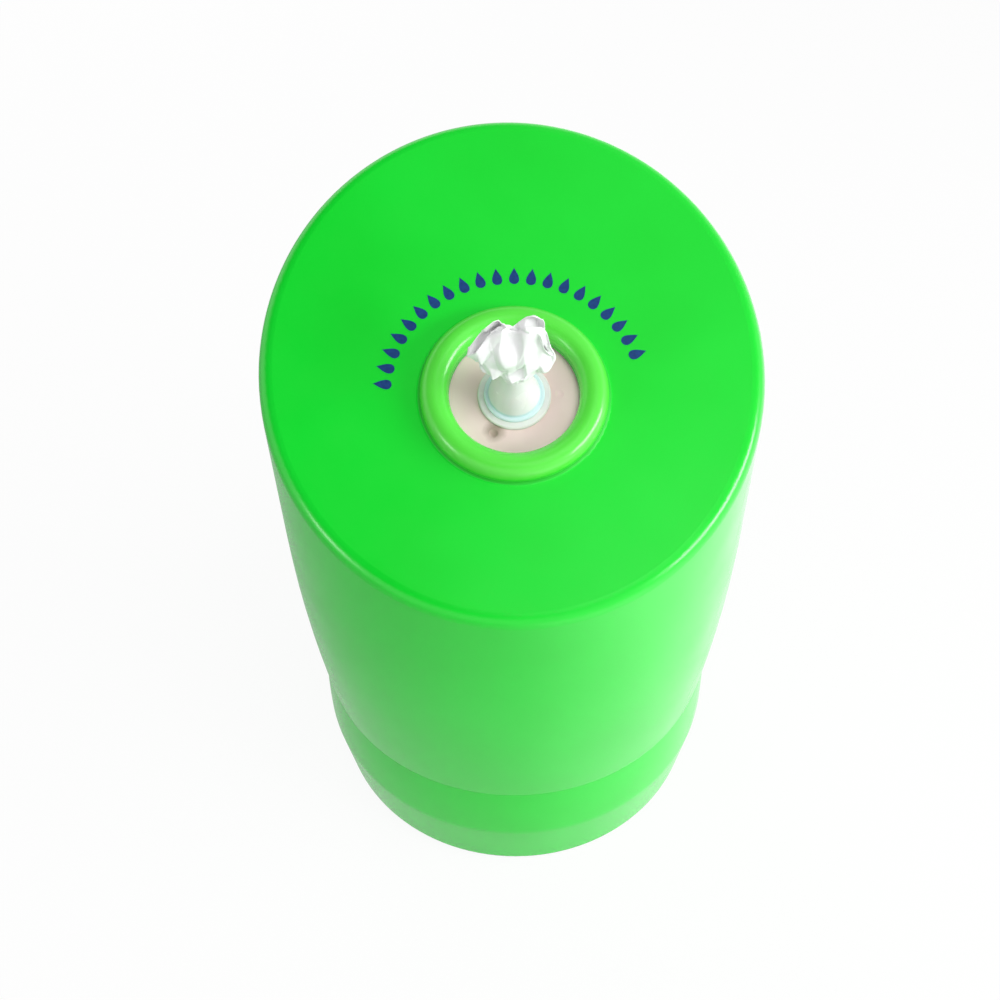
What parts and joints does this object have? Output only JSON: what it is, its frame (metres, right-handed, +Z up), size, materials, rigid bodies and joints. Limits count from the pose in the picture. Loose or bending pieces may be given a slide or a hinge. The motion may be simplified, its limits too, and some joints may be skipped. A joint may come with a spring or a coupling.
{
  "type": "countertop wipes dispenser",
  "caption": "Tall round tub-and-cover dispenser with a sloping flat top; a wet wipe is pulled up from the centre of a roll through a nozzle in a raised collar",
  "frame": {"origin": "On the round body's axis, in the plane of the counter that the four feet stand on", "axes": "+Z up along the body's axis, -Y towards the user, where the sloping top is lowest, +X to the user's right"},
  "size_m": [0.21, 0.21, 0.3041],
  "materials": {
    "lime_plastic": "satin moulded polyethylene",
    "satin_steel": "satin",
    "clear_silicone": "translucent, smooth",
    "inner_plastic": "matt moulded",
    "screw_steel": "bright zinc",
    "seal_rubber": "matt",
    "foot_rubber": "matt",
    "wet_wipe": "damp nonwoven",
    "bag_film": "thin clear film"
  },
  "bodies": {
    "root": {"tub": "lime_plastic", "seal_ring": "seal_rubber", "foot_1": "foot_rubber", "foot_2": "foot_rubber", "foot_3": "foot_rubber", "foot_4": "foot_rubber", "refill_roll": "wet_wipe", "refill_bag": "bag_film", "next_wipe": "wet_wipe"},
    "cover_body": {"cover": "lime_plastic", "plate_gasket": "seal_rubber", "nozzle_plate": "satin_steel", "clamp_ring": "inner_plastic", "clamp_screws": "screw_steel", "nozzle": "clear_silicone", "nozzle_nut": "inner_plastic"},
    "wipe": {"leading_wipe": "wet_wipe"}
  },
  "joints": [
    {"name": "cover_lift", "type": "slide", "parent": "root", "child": "cover_body", "axis": [0, 0, 1], "range_m": [0, 0.175]},
    {"name": "wipe_pull", "type": "slide", "parent": "cover_body", "child": "wipe", "axis": [0, -0.4289, 0.9033], "range_m": [0, 0.06]}
  ]
}
